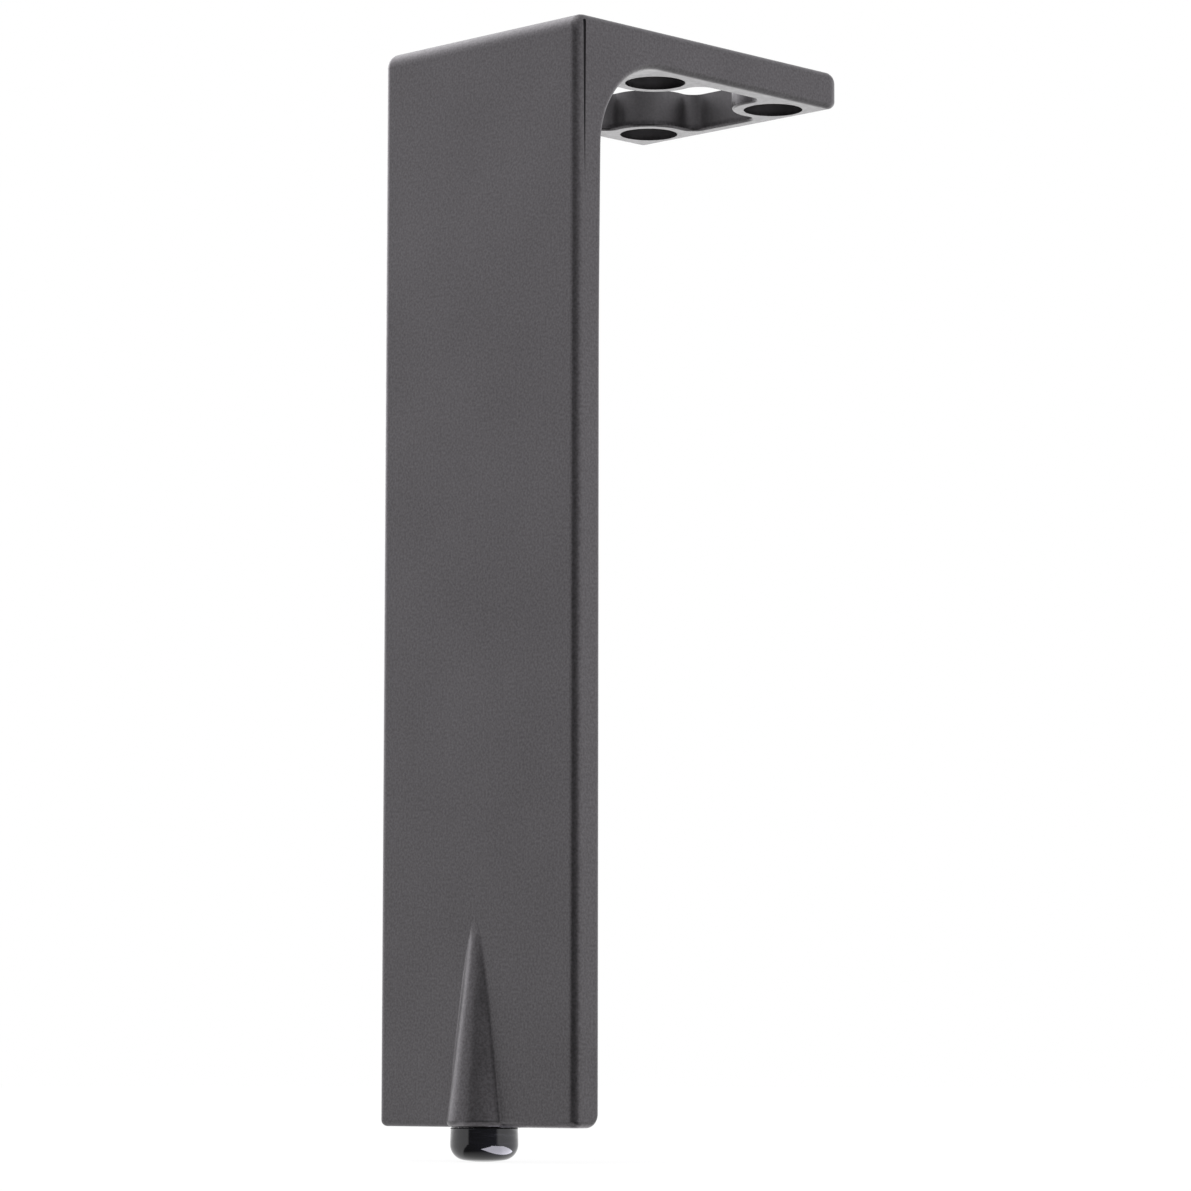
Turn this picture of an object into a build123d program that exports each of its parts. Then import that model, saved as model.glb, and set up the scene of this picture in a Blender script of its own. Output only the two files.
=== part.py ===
from build123d import *
import os

os.makedirs("parts", exist_ok=True)

# The leg is an L of cast zinc: an upright that stands at the cabinet's corner, and a mounting
# frame at its top with four screw holes. A levelling foot screws into a boss at its lower end.
# +Z is up and +X runs along the mounting frame, away from the upright. The origin is the
# centre of the four screw holes, on the top face that meets the cabinet.

# Casting: outer sizes
leg_height = 195.5
leg_width = 49.5
upright_thickness = 6.3
frame_thickness = 7.0

# Casting: corners of its outline seen from the side, and the rounding of the frame's free end
knee_inner_radius = 16.0
knee_outer_radius = 2.75
toe_radius = 2.5
frame_end_radius = 3.3

# Casting: gentle swelling of the upright's inner face, just below the knee
swelling_height = 0.5
swelling_length = 30.0
swelling_blend_radius = 1600.0

# Casting: rounding of its edges, on the outer side and on the inner side
outer_edge_radius = 1.6
inner_edge_radius = 1.1

# Casting: screw holes in the mounting frame, each with a seat for the screw's head
hole_pitch = 32.0
screw_hole_diameter = 6.5
head_seat_diameter = 11.0
head_seat_depth = 4.0

# Casting: square window in the mounting frame, with a round pad left about each hole
window_past_holes = 4.2
window_to_knee = 2.75
window_to_frame_end = 5.3
pad_diameter = 15.4
window_fillet = 2.75
window_edge_radius = 0.5

# Casting: the die's parting line, a fine slit in both narrow sides that closes at its lower end
slit_to_rounding = 0.5
slit_start = 1.1
slit_length = 34.0
slit_width = 0.32
slit_depth = 0.5

# Casting: conical boss for the levelling foot, sunk into the upright
boss_diameter = 13.6
boss_height = 36.0
boss_axis_depth = 2.5
boss_fillet = 1.0

# Levelling foot: threaded stud with a plastic glide moulded round its lower end
thread_diameter = 6.0
thread_clearance = 0.05
stud_length = 24.0
stud_chamfer = 0.8
stud_in_glide = 4.0
stud_hole_spare = 2.5
glide_diameter = 12.0
glide_height = 5.95
glide_gap = 0.05
glide_rim_chamfer = 0.2
glide_flat_diameter = 3.0
glide_dome_rise = 0.8
glide_dome_radius = 22.0
glide_corner_radius = 2.8

# Places worked out from the sizes above
window_size = hole_pitch + 2 * window_past_holes
frame_end_x = window_size / 2 + window_to_frame_end
inner_face_x = -(window_size / 2 + window_to_knee + knee_inner_radius)
outer_face_x = inner_face_x - upright_thickness
slit_x = outer_face_x + outer_edge_radius + slit_to_rounding
foot_axis_x = outer_face_x + boss_axis_depth
upright_end_z = -leg_height
glide_top_z = upright_end_z - glide_gap
glide_base_z = glide_top_z - glide_height
stud_base_z = glide_top_z - stud_in_glide
stud_hole_radius = thread_diameter / 2 + thread_clearance
stud_hole_depth = stud_base_z + stud_length - upright_end_z + stud_hole_spare

# The boss's cone runs on to a point that is hidden in the upright.
boss_radius = boss_diameter / 2
cone_height = boss_height * boss_radius / (boss_radius - boss_axis_depth)

STANDING = (Align.CENTER, Align.CENTER, Align.MIN)


def build_blank():
    """The L with its conical boss, and with its outlines and edges rounded."""
    knee_corner = (inner_face_x + swelling_height, -frame_thickness)
    swelling_end = (inner_face_x, -frame_thickness - knee_inner_radius - swelling_length)
    with BuildPart() as blank:
        with BuildSketch(Plane.XZ) as side:
            with BuildLine():
                Polyline(
                    (outer_face_x, 0),
                    (frame_end_x, 0),
                    (frame_end_x, -frame_thickness),
                    knee_corner,
                    swelling_end,
                    (inner_face_x, upright_end_z),
                    (outer_face_x, upright_end_z),
                    close=True,
                )
            make_face()
            knee_outside = side.vertices().sort_by_distance((outer_face_x, 0))[0]
            fillet(knee_outside, knee_outer_radius)
            knee_inside = side.vertices().sort_by_distance(knee_corner)[0]
            fillet(knee_inside, knee_inner_radius)
            swelling_foot = side.vertices().sort_by_distance(swelling_end)[0]
            fillet(swelling_foot, swelling_blend_radius)
            toe = side.vertices().sort_by_distance((inner_face_x, upright_end_z))[0]
            fillet(toe, toe_radius)
        extrude(amount=leg_width / 2, both=True)
        frame_end = blank.faces().sort_by(Axis.X)[-1]
        fillet(frame_end.edges(), frame_end_radius)
        outer_edges = blank.edges().filter_by(Axis.Z).group_by(Axis.X)[0]
        fillet(outer_edges, outer_edge_radius)

        # The boss's axis is inside the upright, so its cone stands out on both faces.
        with Locations((foot_axis_x, 0, upright_end_z)):
            Cone(boss_radius, 0, cone_height, align=STANDING)
        boss_lines = blank.edges().filter_by(GeomType.HYPERBOLA)
        fillet(boss_lines, boss_fillet)

        upright_edges = blank.edges().filter_by(Axis.Z)
        inner_edges = upright_edges.filter_by_position(Axis.X, inner_face_x, inner_face_x)
        fillet(inner_edges, inner_edge_radius)
    return blank.part


def build_leg_casting():
    """The whole casting, with its window, its screw holes and the hole for the stud."""
    hole_places = GridLocations(hole_pitch, hole_pitch, 2, 2)
    with BuildPart() as casting:
        add(build_blank())

        # The window is a square, less the four pads, with its inner corners rounded.
        with BuildSketch(Plane.XY) as window:
            Rectangle(window_size, window_size)
            with hole_places:
                Circle(pad_diameter / 2, mode=Mode.SUBTRACT)
            fillet(window.vertices(), window_fillet)
        extrude(amount=-frame_thickness, mode=Mode.SUBTRACT)

        # Its edges are rounded below; above they stay crisp, where the frame meets the cabinet.
        window_edges = casting.edges(Select.LAST).filter_by(Plane.XY)
        fillet(window_edges.group_by(Axis.Z)[0], window_edge_radius)

        with BuildSketch(Plane.XY):
            with hole_places:
                Circle(screw_hole_diameter / 2)
        extrude(amount=-frame_thickness, mode=Mode.SUBTRACT)

        # Each seat opens downwards, because the screws go up into the cabinet.
        with BuildSketch(Plane.XY.offset(-frame_thickness)):
            with hole_places:
                Circle(head_seat_diameter / 2)
        extrude(amount=head_seat_depth, mode=Mode.SUBTRACT)

        with Locations((foot_axis_x, 0, upright_end_z)):
            Cylinder(stud_hole_radius, stud_hole_depth, align=STANDING, mode=Mode.SUBTRACT)

        # The parting line's slit is a long thin triangle, cut inwards from each narrow side.
        with BuildSketch(Plane.XZ) as slit:
            with BuildLine():
                Polyline(
                    (slit_x - slit_width / 2, -slit_start),
                    (slit_x + slit_width / 2, -slit_start),
                    (slit_x, -slit_start - slit_length),
                    close=True,
                )
            make_face()
        for side in (-1, 1):
            slit_floor = slit.sketch.moved(Location((0, side * (leg_width / 2 - slit_depth), 0)))
            extrude(slit_floor, amount=slit_depth, dir=(0, side, 0), mode=Mode.SUBTRACT)
    return casting.part


def build_stud():
    """The steel stud, with its upper end chamfered."""
    with BuildPart() as stud:
        with Locations((foot_axis_x, 0, stud_base_z)):
            Cylinder(thread_diameter / 2, stud_length, align=STANDING)
        chamfer(stud.edges().group_by(Axis.Z)[-1], stud_chamfer)
    return stud.part


def build_glide():
    """The plastic glide: a turned cap with a domed base and a small flat under it."""
    glide_radius = glide_diameter / 2
    flat_edge = (glide_flat_diameter / 2, glide_base_z)
    dome_edge = (glide_radius, glide_base_z + glide_dome_rise)
    rim_edge = (glide_radius, glide_top_z)
    with BuildPart() as glide:
        with BuildSketch(Plane.XZ) as section:
            with BuildLine():
                Polyline(
                    flat_edge,
                    (0, glide_base_z),
                    (0, stud_base_z),
                    (thread_diameter / 2, stud_base_z),
                    (thread_diameter / 2, glide_top_z),
                    rim_edge,
                    dome_edge,
                )
                RadiusArc(flat_edge, dome_edge, -glide_dome_radius)
            make_face()
            fillet(section.vertices().sort_by_distance(dome_edge)[0], glide_corner_radius)
            chamfer(section.vertices().sort_by_distance(rim_edge)[0], glide_rim_chamfer)
        revolve(axis=Axis.Z)
    return glide.part.moved(Location((foot_axis_x, 0, 0)))


export_step(build_leg_casting(), "parts/leg_casting.step")
export_step(build_stud(), "parts/levelling_stud.step")
export_step(build_glide(), "parts/glide.step")
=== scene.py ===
import bpy
from math import radians
from mathutils import Euler, Matrix, Vector


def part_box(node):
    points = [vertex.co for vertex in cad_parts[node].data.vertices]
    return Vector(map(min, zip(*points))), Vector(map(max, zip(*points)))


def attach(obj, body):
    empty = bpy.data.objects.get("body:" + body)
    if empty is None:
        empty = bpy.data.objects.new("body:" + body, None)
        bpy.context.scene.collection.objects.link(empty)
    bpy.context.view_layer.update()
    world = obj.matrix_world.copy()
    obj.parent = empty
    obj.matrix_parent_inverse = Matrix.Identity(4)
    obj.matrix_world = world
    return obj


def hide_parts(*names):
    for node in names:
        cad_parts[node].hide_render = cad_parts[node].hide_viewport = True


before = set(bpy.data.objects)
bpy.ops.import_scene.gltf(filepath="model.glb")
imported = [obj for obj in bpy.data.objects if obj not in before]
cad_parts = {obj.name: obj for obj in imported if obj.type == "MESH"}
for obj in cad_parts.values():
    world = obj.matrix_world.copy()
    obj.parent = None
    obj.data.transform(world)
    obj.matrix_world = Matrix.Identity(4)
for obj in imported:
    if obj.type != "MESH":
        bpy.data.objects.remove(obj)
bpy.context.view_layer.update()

# Leg casting
# One zinc die casting: the flat upright, the frame that screws to the cabinet and the conical
# boss for the foot. It is sprayed with graphite metallic paint, which has a very fine grain.

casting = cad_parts["leg_casting"]
casting_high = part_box("leg_casting")[1]

paint_dark = (0.064, 0.061, 0.063)
paint_light = (0.105, 0.101, 0.105)
painted_light_on_walls = (0.128, 0.125, 0.128)
painted_light_share = 0.6
seat_painted_light_grey = (0.17, 0.165, 0.17)
slit_painted_shade = (0.006, 0.006, 0.007)


def add_node(material, kind, **settings):
    """A new node in a material's tree, with its settings."""
    node = material.node_tree.nodes.new(kind)
    for name, value in settings.items():
        setattr(node, name, value)
    return node


def join(material, output, target):
    """Links a node's output to another node's input."""
    material.node_tree.links.new(output, target)


def add_noise(material, scale, detail, stretch=(1, 1, 1)):
    """Noise that is fixed to the piece, at so many waves a metre, stretched along its axes."""
    place = add_node(material, "ShaderNodeTexCoord")
    mapping = add_node(material, "ShaderNodeMapping")
    mapping.inputs["Scale"].default_value = stretch
    noise = add_node(material, "ShaderNodeTexNoise")
    noise.inputs["Scale"].default_value = scale
    noise.inputs["Detail"].default_value = detail
    join(material, place.outputs["Object"], mapping.inputs["Vector"])
    join(material, mapping.outputs["Vector"], noise.inputs["Vector"])
    return noise.outputs["Fac"]


def add_range(material, value, low, high, to_low, to_high):
    """Turns values from low to high into values from to_low to to_high, and keeps them there."""
    node = add_node(material, "ShaderNodeMapRange", clamp=True)
    join(material, value, node.inputs["Value"])
    node.inputs["From Min"].default_value = low
    node.inputs["From Max"].default_value = high
    node.inputs["To Min"].default_value = to_low
    node.inputs["To Max"].default_value = to_high
    return node.outputs["Result"]


def add_math(material, operation, *values):
    """A Math node on outputs of other nodes and plain numbers."""
    node = add_node(material, "ShaderNodeMath", operation=operation)
    for socket, value in zip(node.inputs, values):
        if isinstance(value, bpy.types.NodeSocket):
            join(material, value, socket)
        else:
            socket.default_value = value
    return node.outputs["Value"]


def add_mix(material, factor, first, second):
    """A colour between two others. Each is a colour or another node's output."""
    node = add_node(material, "ShaderNodeMix", data_type="RGBA")
    join(material, factor, node.inputs["Factor"])
    for socket, colour in ((node.inputs["A"], first), (node.inputs["B"], second)):
        if isinstance(colour, bpy.types.NodeSocket):
            join(material, colour, socket)
        else:
            socket.default_value = (*colour, 1.0)
    return node.outputs["Result"]


def add_place(material):
    """The x, y and z of a point on the piece."""
    place = add_node(material, "ShaderNodeTexCoord")
    split = add_node(material, "ShaderNodeSeparateXYZ")
    join(material, place.outputs["Object"], split.inputs["Vector"])
    return split.outputs["X"], split.outputs["Y"], split.outputs["Z"]


def add_bump(material, height, strength, distance, under=None):
    """A surface's fine relief, which may lie over a coarser or finer one."""
    bump = add_node(material, "ShaderNodeBump")
    bump.inputs["Strength"].default_value = strength
    bump.inputs["Distance"].default_value = distance
    join(material, height, bump.inputs["Height"])
    if under:
        join(material, under, bump.inputs["Normal"])
    return bump.outputs["Normal"]


paint = bpy.data.materials.new("graphite_paint")
paint.use_nodes = True
paint_shader = paint.node_tree.nodes["Principled BSDF"]
paint_shader.inputs["Metallic"].default_value = 0.88

# The paint is a little uneven from place to place, and its metal flakes are fine specks.
cloud = add_range(paint, add_noise(paint, 45, 3), 0.3, 0.7, 0.0, 0.2)
specks = add_range(paint, add_noise(paint, 2300, 1), 0.3, 0.7, 0.0, 0.8)
flakes = add_math(paint, "ADD", cloud, specks)
paint_colour = add_mix(paint, flakes, paint_dark, paint_light)

# The die has left drag marks on the window's walls, upright lines that the paint doesn't hide.
window_half_size = 0.0203
window_foot = -0.0063
x, y, z = add_place(paint)
x_size = add_math(paint, "ABSOLUTE", x)
y_size = add_math(paint, "ABSOLUTE", y)
off_axis = add_math(paint, "MAXIMUM", x_size, y_size)
in_window = add_math(paint, "LESS_THAN", off_axis, window_half_size)
above_foot = add_range(paint, z, window_foot, window_foot + 0.0006, 0.0, 1.0)
below_face = add_math(paint, "LESS_THAN", z, casting_high.z - 0.0001)
in_frame = add_math(paint, "MULTIPLY", above_foot, below_face)
on_walls = add_math(paint, "MULTIPLY", in_window, in_frame)
drag_lines = add_noise(paint, 1500, 3, stretch=(1, 1, 0.07))
drag_marks = add_math(paint, "MULTIPLY", drag_lines, on_walls)
# Painted light: the window's walls are painted paler, for the stronger light that falls on their back wall.
painted_wall_light = add_math(paint, "MULTIPLY", on_walls, painted_light_share)
paint_colour = add_mix(paint, painted_wall_light, paint_colour, painted_light_on_walls)

# Painted light: the seats of the screws' heads are painted a paler grey, so that these recesses come out
# brighter.
hole_place = 0.016
seat_radius = 0.0056
seat_mouth = -0.0067
seat_floor = -0.0028
from_hole_x = add_math(paint, "SUBTRACT", x_size, hole_place)
from_hole_y = add_math(paint, "SUBTRACT", y_size, hole_place)
square_x = add_math(paint, "MULTIPLY", from_hole_x, from_hole_x)
square_y = add_math(paint, "MULTIPLY", from_hole_y, from_hole_y)
hole_distance = add_math(paint, "SQRT", add_math(paint, "ADD", square_x, square_y))
near_hole = add_math(paint, "LESS_THAN", hole_distance, seat_radius)
above_mouth = add_range(paint, z, seat_mouth, seat_mouth + 0.0008, 0.0, 1.0)
below_floor = add_math(paint, "LESS_THAN", z, seat_floor)
seat_depth = add_math(paint, "MULTIPLY", above_mouth, below_floor)
painted_seat_light = add_math(paint, "MULTIPLY", near_hole, seat_depth)
paint_colour = add_mix(paint, painted_seat_light, paint_colour, seat_painted_light_grey)

# Painted shade: the die's parting line is painted black for the shade in its slit, in a band that narrows
# downwards to a hairline.
outer_face = -0.04525
slit_place = outer_face + 0.00192
slit_top = -0.0012
slit_foot = -0.029
slit_side = casting_high.y - 0.0006
slit_half_width = add_range(paint, z, slit_foot, slit_top, 0.0, 0.0003)
from_slit = add_math(paint, "ABSOLUTE", add_math(paint, "SUBTRACT", x, slit_place))
near_slit = add_math(paint, "LESS_THAN", from_slit, slit_half_width)
on_side = add_math(paint, "GREATER_THAN", y_size, slit_side)
below_top = add_math(paint, "LESS_THAN", z, slit_top)
painted_slit_shade = add_math(paint, "MULTIPLY", add_math(paint, "MULTIPLY", near_slit, on_side), below_top)
paint_colour = add_mix(paint, painted_slit_shade, paint_colour, slit_painted_shade)
join(paint, paint_colour, paint_shader.inputs["Base Color"])

satin = add_range(paint, add_noise(paint, 900, 4), 0.3, 0.7, 0.33, 0.39)
rubbed = add_range(paint, drag_marks, 0.3, 0.7, 0.0, 0.12)
join(paint, add_math(paint, "ADD", satin, rubbed), paint_shader.inputs["Roughness"])

# Its relief is a fine grain, over it the slight peel of sprayed paint, and the drag marks.
grain = add_bump(paint, add_noise(paint, 3800, 3), 0.15, 0.00002)
peel = add_bump(paint, add_noise(paint, 420, 2), 0.1, 0.00006, under=grain)
dragged = add_bump(paint, drag_marks, 0.5, 0.00008, under=peel)
join(paint, dragged, paint_shader.inputs["Normal"])

casting.data.materials.clear()
casting.data.materials.append(paint)

# Levelling stud
# An M6 steel stud, zinc plated, that screws up into the boss. Its thread is rolled, and its
# upper end is chamfered so that it starts easily.

stud_low, stud_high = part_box("levelling_stud")
stud_axis = Vector(((stud_low.x + stud_high.x) / 2, 0, 0))
thread_radius = (stud_high.x - stud_low.x) / 2
thread_pitch = 0.001
thread_depth = 0.000613
thread_crest = thread_pitch / 8
thread_root = thread_pitch / 4
stud_chamfer = 0.0008
turn_steps = 48
zinc_dull = (0.54, 0.54, 0.52)
zinc_bright = (0.66, 0.66, 0.64)

# One turn of the thread's section is wound up into the whole thread, a little too long.
root_radius = thread_radius - thread_depth
thread_section = [
    (root_radius, 0),
    (root_radius, thread_root),
    (thread_radius, (thread_pitch + thread_root - thread_crest) / 2),
    (thread_radius, (thread_pitch + thread_root + thread_crest) / 2),
    (root_radius, thread_pitch),
]
bpy.ops.object.select_all(action="DESELECT")
bpy.ops.mesh.primitive_circle_add(vertices=len(thread_section), radius=thread_radius)
stud = bpy.context.active_object
stud.name = "threaded_stud"
bpy.ops.object.mode_set(mode="EDIT")
bpy.ops.mesh.delete(type="EDGE_FACE")
bpy.ops.object.mode_set(mode="OBJECT")
for vertex, (radius, height) in zip(stud.data.vertices, thread_section):
    vertex.co = (radius, 0, height)
stud.data.edges.add(len(thread_section) - 1)
for edge in stud.data.edges:
    edge.vertices = (edge.index, edge.index + 1)
thread = stud.modifiers.new("thread", "SCREW")
thread.screw_offset = thread_pitch
thread.iterations = int((stud_high.z - stud_low.z) / thread_pitch) + 3
thread.steps = turn_steps
thread.render_steps = turn_steps
thread.use_merge_vertices = True
thread.merge_threshold = thread_pitch / 100
thread.use_normal_calculate = True
bpy.ops.object.modifier_apply(modifier="thread")

# The thread starts half a step out of line with the stud's ends, so no point lies on a cut.
thread_start = stud_low.z - thread_pitch * (1.5 + 0.5 / turn_steps)
stud.data.transform(Matrix.Translation((stud_axis.x, 0, thread_start)))
bpy.ops.object.mode_set(mode="EDIT")
bpy.ops.mesh.select_all(action="SELECT")
bpy.ops.mesh.remove_doubles(threshold=thread_pitch / 100)
for cut_z, outwards in ((stud_low.z, -1), (stud_high.z, 1)):
    bpy.ops.mesh.select_all(action="SELECT")
    bpy.ops.mesh.bisect(
        plane_co=(0, 0, cut_z),
        plane_no=(0, 0, outwards),
        threshold=thread_pitch / 10000,
        use_fill=True,
        clear_outer=True,
    )
bpy.ops.mesh.select_all(action="SELECT")
bpy.ops.mesh.normals_make_consistent(inside=False)
bpy.ops.object.mode_set(mode="OBJECT")

# The chamfer draws every point near the upper end in to a cone.
for vertex in stud.data.vertices:
    reach = thread_radius - stud_chamfer + (stud_high.z - vertex.co.z)
    across = vertex.co - stud_axis
    across.z = 0
    if across.length > reach:
        vertex.co -= across * (1 - reach / across.length)
bpy.ops.object.shade_smooth_by_angle(angle=radians(25))

plating = bpy.data.materials.new("zinc_plating")
plating.use_nodes = True
plating_shader = plating.node_tree.nodes["Principled BSDF"]
plating_shader.inputs["Metallic"].default_value = 1.0
patches = add_range(plating, add_noise(plating, 700, 4), 0.35, 0.65, 0.0, 1.0)
zinc_colour = add_mix(plating, patches, zinc_dull, zinc_bright)
join(plating, zinc_colour, plating_shader.inputs["Base Color"])
zinc_roughness = add_range(plating, add_noise(plating, 2600, 3), 0.3, 0.7, 0.24, 0.4)
join(plating, zinc_roughness, plating_shader.inputs["Roughness"])
rolled = add_bump(plating, add_noise(plating, 3000, 2, stretch=(1, 1, 4)), 0.2, 0.00002)
join(plating, rolled, plating_shader.inputs["Normal"])
stud.data.materials.append(plating)

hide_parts("levelling_stud")
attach(stud, "levelling_foot")

# Glide
# The black plastic glide, moulded round the stud's lower end. Its polished mould leaves it
# glossy, and handling leaves fine scuffs on it.

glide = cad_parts["glide"]
glide_low, glide_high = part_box("glide")
plastic_black = (0.003, 0.003, 0.004)
plastic_scuffed = (0.028, 0.028, 0.034)

plastic = bpy.data.materials.new("gloss_plastic")
plastic.use_nodes = True
plastic_shader = plastic.node_tree.nodes["Principled BSDF"]
plastic_shader.inputs["IOR"].default_value = 1.6
x, y, z = add_place(plastic)
scratches = add_noise(plastic, 260, 5, stretch=(1, 1, 26))
scratched = add_range(plastic, scratches, 0.55, 0.72, 0.0, 1.0)
near_rim = add_range(plastic, z, glide_high.z - 0.0016, glide_high.z - 0.0004, 0.15, 1.0)
scuff = add_math(plastic, "MULTIPLY", scratched, near_rim)
plastic_colour = add_mix(plastic, scuff, plastic_black, plastic_scuffed)
join(plastic, plastic_colour, plastic_shader.inputs["Base Color"])
plastic_roughness = add_range(plastic, scuff, 0.0, 1.0, 0.06, 0.34)
join(plastic, plastic_roughness, plastic_shader.inputs["Roughness"])
moulded = add_bump(plastic, add_noise(plastic, 900, 3), 0.15, 0.00003)
join(plastic, moulded, plastic_shader.inputs["Normal"])
glide.data.materials.clear()
glide.data.materials.append(plastic)

# Floor
# A wide white floor under the glide, which goes with the foot, so that the leg stands on it at
# every height. The camera sees it white, and it keeps the leg's soft shadow. Towards the camera
# it runs into the dark end of the studio, as reflections show it.

floor_half_size = 4.0
floor_drop = 0.00002
floor_paint = (0.9, 0.9, 0.9)
white = (1, 1, 1)
black = (0, 0, 0)

# The dark end lies between these two planes through the leg, which face into it. The left one
# is upright and the right one leans, so the dark end narrows upwards and closes. On the floor
# it starts just beyond the glide.
dark_left_normal = (-0.156, -0.988, 0.0)
dark_right_normal = (-1.0, 0.0, -3.3)
dark_share = 0.9
dark_start = 0.0045
dark_full = 0.0075

# Behind the leg the floor runs into a strongly lit wall, which shines in the frame's underside.
wall_direction = (0.707, 0.707, 0.0)
wall_start = 0.2
wall_full = 0.6
wall_glow = 2.35

bpy.ops.object.select_all(action="DESELECT")
bpy.ops.mesh.primitive_plane_add(size=2 * floor_half_size, location=(0, 0, glide_low.z - floor_drop))
floor = bpy.context.active_object
floor.name = "studio_floor"
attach(floor, "levelling_foot")


def add_dot(material, vector, direction):
    """How far a vector points along a fixed direction."""
    node = add_node(material, "ShaderNodeVectorMath", operation="DOT_PRODUCT")
    join(material, vector, node.inputs[0])
    node.inputs[1].default_value = direction
    return node.outputs["Value"]


def add_dark_end(material, direction):
    """1 for a direction that points into the studio's dark end, 0 for one that points clear of it."""
    past_left = add_dot(material, direction, dark_left_normal)
    past_right = add_dot(material, direction, dark_right_normal)
    from_left = add_range(material, past_left, -0.05, 0.05, 0.0, 1.0)
    from_right = add_range(material, past_right, -0.08, 0.08, 0.0, 1.0)
    return add_math(material, "MULTIPLY", from_left, from_right)


floor_white = bpy.data.materials.new("floor_white")
floor_white.use_nodes = True
floor_nodes = floor_white.node_tree.nodes
floor_shader = floor_nodes["Principled BSDF"]
floor_shader.inputs["Roughness"].default_value = 1.0
floor_shader.inputs["Specular IOR Level"].default_value = 0.0
floor_place = add_node(floor_white, "ShaderNodeTexCoord")
from_foot = add_node(floor_white, "ShaderNodeVectorMath", operation="SUBTRACT")
join(floor_white, floor_place.outputs["Object"], from_foot.inputs[0])
from_foot.inputs[1].default_value = ((glide_low.x + glide_high.x) / 2, 0, 0)
foot_distance = add_node(floor_white, "ShaderNodeVectorMath", operation="LENGTH")
join(floor_white, from_foot.outputs["Vector"], foot_distance.inputs[0])
away = add_node(floor_white, "ShaderNodeVectorMath", operation="NORMALIZE")
join(floor_white, from_foot.outputs["Vector"], away.inputs[0])

# A reflection shows the floor dark or lit, while the camera sees it plain white.
floor_ray = add_node(floor_white, "ShaderNodeLightPath")
mirrored = floor_ray.outputs["Is Glossy Ray"]
sees_floor = (floor_ray.outputs["Is Camera Ray"], floor_ray.outputs["Is Transmission Ray"])
seen = add_math(floor_white, "MAXIMUM", *sees_floor)
unseen = add_math(floor_white, "SUBTRACT", 1.0, seen)
beyond_foot = add_range(floor_white, foot_distance.outputs["Value"], dark_start, dark_full, 0.0, dark_share)
in_dark_end = add_dark_end(floor_white, away.outputs["Vector"])
floor_dark = add_math(floor_white, "MULTIPLY", in_dark_end, beyond_foot)
floor_dark = add_math(floor_white, "MULTIPLY", floor_dark, unseen)
join(floor_white, add_mix(floor_white, floor_dark, floor_paint, black), floor_shader.inputs["Base Color"])

floor_glow = add_node(floor_white, "ShaderNodeEmission")
wall_distance = add_dot(floor_white, from_foot.outputs["Vector"], wall_direction)
wall_shine = add_range(floor_white, wall_distance, wall_start, wall_full, 0.0, wall_glow - 1.0)
glow = add_math(floor_white, "ADD", 1.0, add_math(floor_white, "MULTIPLY", wall_shine, mirrored))
join(floor_white, glow, floor_glow.inputs["Strength"])
join(floor_white, add_mix(floor_white, floor_dark, white, black), floor_glow.inputs["Color"])

# A tenth of the lamps' light stays in the mix, and with it the leg's shadow.
glow_share = 0.9
looks_lit = add_math(floor_white, "MAXIMUM", seen, mirrored)
floor_mix = add_node(floor_white, "ShaderNodeMixShader")
join(floor_white, add_math(floor_white, "MULTIPLY", looks_lit, glow_share), floor_mix.inputs["Fac"])
join(floor_white, floor_shader.outputs["BSDF"], floor_mix.inputs[1])
join(floor_white, floor_glow.outputs["Emission"], floor_mix.inputs[2])
join(floor_white, floor_mix.outputs["Shader"], floor_nodes["Material Output"].inputs["Surface"])
floor.data.materials.append(floor_white)

# Studio light
# A white room lights the leg from all round, with a brighter right wall and a bright window on
# the left, apart from its low dark end where the camera stands. A soft lamp above gives the
# shadow its direction, and two small ones on the floor shine up at the glide and the casting.

room_white = (1.0, 0.985, 1.02, 1)
upwards = (0, 0, 1)
right_wall_direction = (0.707, -0.707, 0)
right_wall_light = 0.62
window_direction = (0.0, 0.9, 0.44)
window_light = 2.2

studio = bpy.data.worlds.new("studio")
bpy.context.scene.world = studio
studio.use_nodes = True
studio_nodes = studio.node_tree.nodes
sight = add_node(studio, "ShaderNodeTexCoord").outputs["Generated"]
sight_height = add_dot(studio, sight, upwards)
darkness = add_math(studio, "MULTIPLY", add_dark_end(studio, sight), dark_share)

# The wall is dimmer higher up, and the window ends at a sill.
to_right_wall = add_dot(studio, sight, right_wall_direction)
right_wall = add_range(studio, to_right_wall, 0.1, 0.8, 0.0, right_wall_light)
low_wall = add_range(studio, sight_height, 0.12, 0.24, 1.0, 0.35)
right_wall = add_math(studio, "MULTIPLY", right_wall, low_wall)
to_window = add_dot(studio, sight, window_direction)
left_window = add_range(studio, to_window, 0.78, 0.96, 0.0, window_light)
above_sill = add_range(studio, sight_height, 0.03, 0.15, 0.0, 1.0)
left_window = add_math(studio, "MULTIPLY", left_window, above_sill)
brightness = add_math(studio, "ADD", 1.0, add_math(studio, "ADD", right_wall, left_window))
not_dark = add_math(studio, "SUBTRACT", 1.0, darkness)
room_glow = studio_nodes["Background"]
room_glow.inputs["Color"].default_value = room_white
join(studio, add_math(studio, "MULTIPLY", brightness, not_dark), room_glow.inputs["Strength"])

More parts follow.
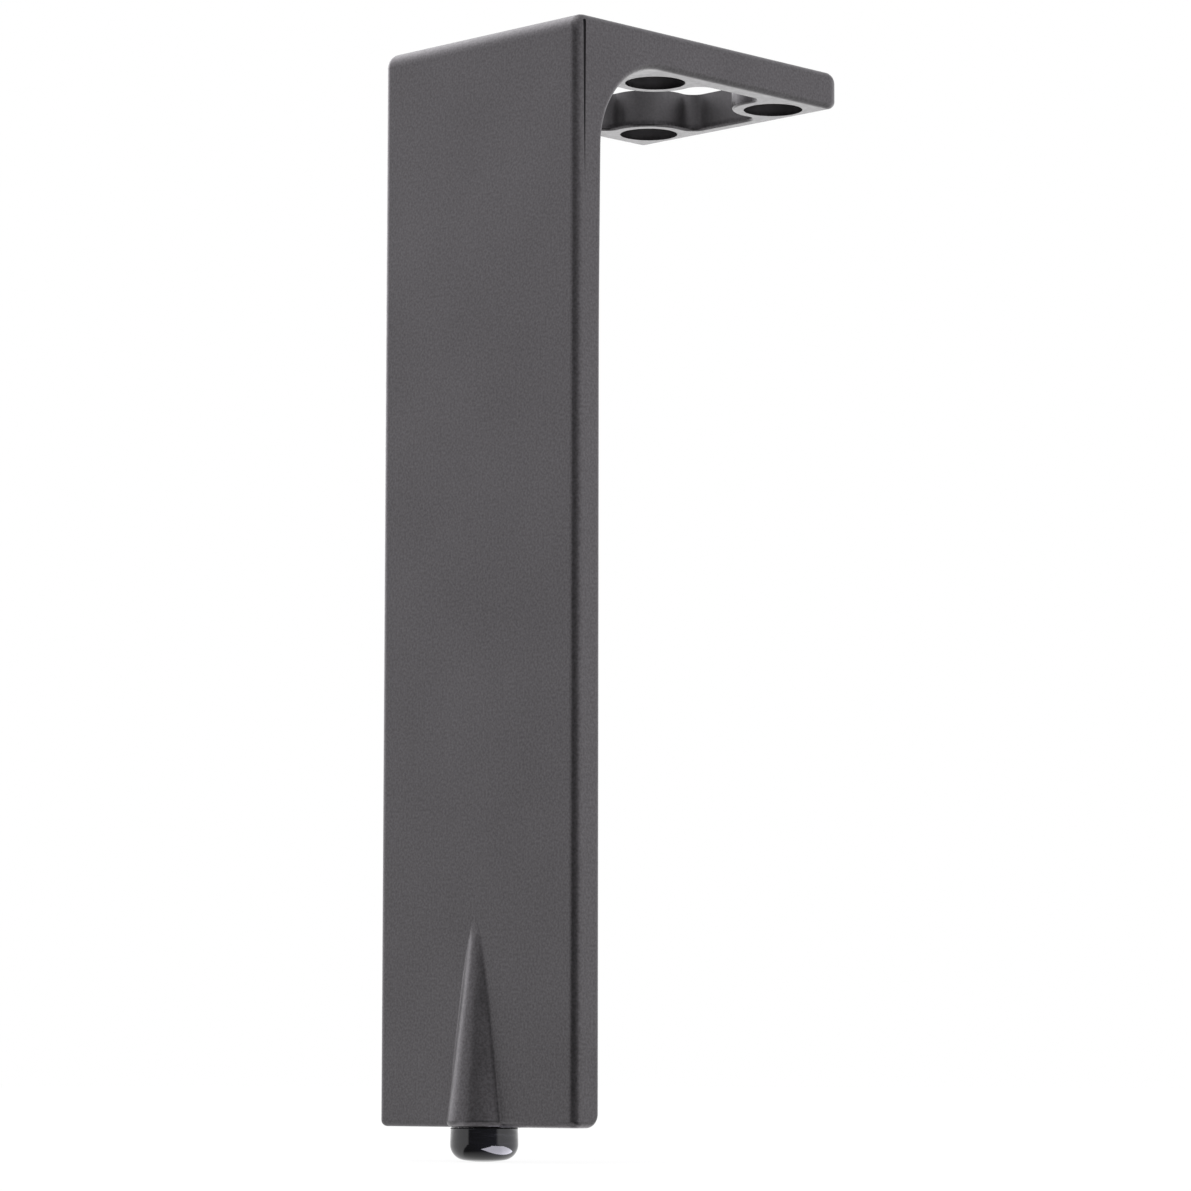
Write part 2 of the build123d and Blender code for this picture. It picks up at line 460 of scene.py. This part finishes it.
# The camera sees a plain white background.
white_glow = add_node(studio, "ShaderNodeBackground")
white_glow.inputs["Color"].default_value = (*white, 1)
white_glow.inputs["Strength"].default_value = 1.0
room_ray = add_node(studio, "ShaderNodeLightPath")
sees_room = (room_ray.outputs["Is Camera Ray"], room_ray.outputs["Is Transmission Ray"])
room_mix = add_node(studio, "ShaderNodeMixShader")
join(studio, add_math(studio, "MAXIMUM", *sees_room), room_mix.inputs["Fac"])
join(studio, room_glow.outputs["Background"], room_mix.inputs[1])
join(studio, white_glow.outputs["Background"], room_mix.inputs[2])
join(studio, room_mix.outputs["Shader"], studio_nodes["World Output"].inputs["Surface"])


def add_lamp(name, size, watts, colour, place, target):
    """A square area lamp at a place, turned to a target."""
    lamp = bpy.data.lights.new(name, "AREA")
    lamp.shape = "SQUARE"
    lamp.size = size
    lamp.energy = watts
    lamp.color = colour
    holder = bpy.data.objects.new(name, lamp)
    bpy.context.scene.collection.objects.link(holder)
    holder.location = place
    holder.rotation_mode = "QUATERNION"
    holder.rotation_quaternion = (Vector(target) - Vector(place)).to_track_quat("-Z", "Y")
    return holder


def add_floor_lamp(name, size, watts, colour, floor_spot, lit_piece):
    """A hidden lamp on the floor that shines up at one piece only and goes with the foot."""
    place = Vector((*floor_spot, glide_low.z + 0.0001))
    lamp = add_lamp(name, size, watts, colour, place, place + Vector(upwards))
    lamp.visible_camera = False
    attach(lamp, "levelling_foot")
    lit_pieces = bpy.data.collections.new("lit_by_" + name)
    lit_pieces.objects.link(lit_piece)
    lamp.light_linking.receiver_collection = lit_pieces


add_lamp("ceiling_lamp", 0.9, 4.0, white, (-0.35, 0.25, 1.1), (0, 0, -0.1))
add_floor_lamp("foot_lamp", 0.0128, 0.0037, (0.90, 0.88, 1.0), (-0.0437, -0.0121), glide)
add_floor_lamp("edge_lamp", 0.04, 0.0045, (1.0, 0.98, 1.0), (-0.0460, -0.0100), casting)

bpy.context.scene.view_settings.view_transform = "Standard"

# Camera
# It stands in front of the leg's near corner, a little above the floor, and looks up at it. Its
# place, turn and lens come from a fit to the photograph's edges, in a 1191 pixel square image.

camera_place = (-0.60415, -0.57320, -0.18664)
camera_heading = 44.21
camera_pitch = 6.056
camera_tilt = 0.081

camera_data = bpy.data.cameras.new("camera")
camera_data.sensor_width = 36.0
camera_data.lens = 137.08
camera_data.clip_start = 0.01
camera_data.clip_end = 50.0
camera = bpy.data.objects.new("camera", camera_data)
bpy.context.scene.collection.objects.link(camera)
camera.location = camera_place
camera_turn = Euler((radians(90 + camera_pitch), 0, radians(camera_heading - 90))).to_matrix()
camera_roll = Matrix.Rotation(radians(camera_tilt), 3, "Z")
camera.rotation_euler = (camera_turn @ camera_roll).to_euler()
bpy.context.scene.camera = camera
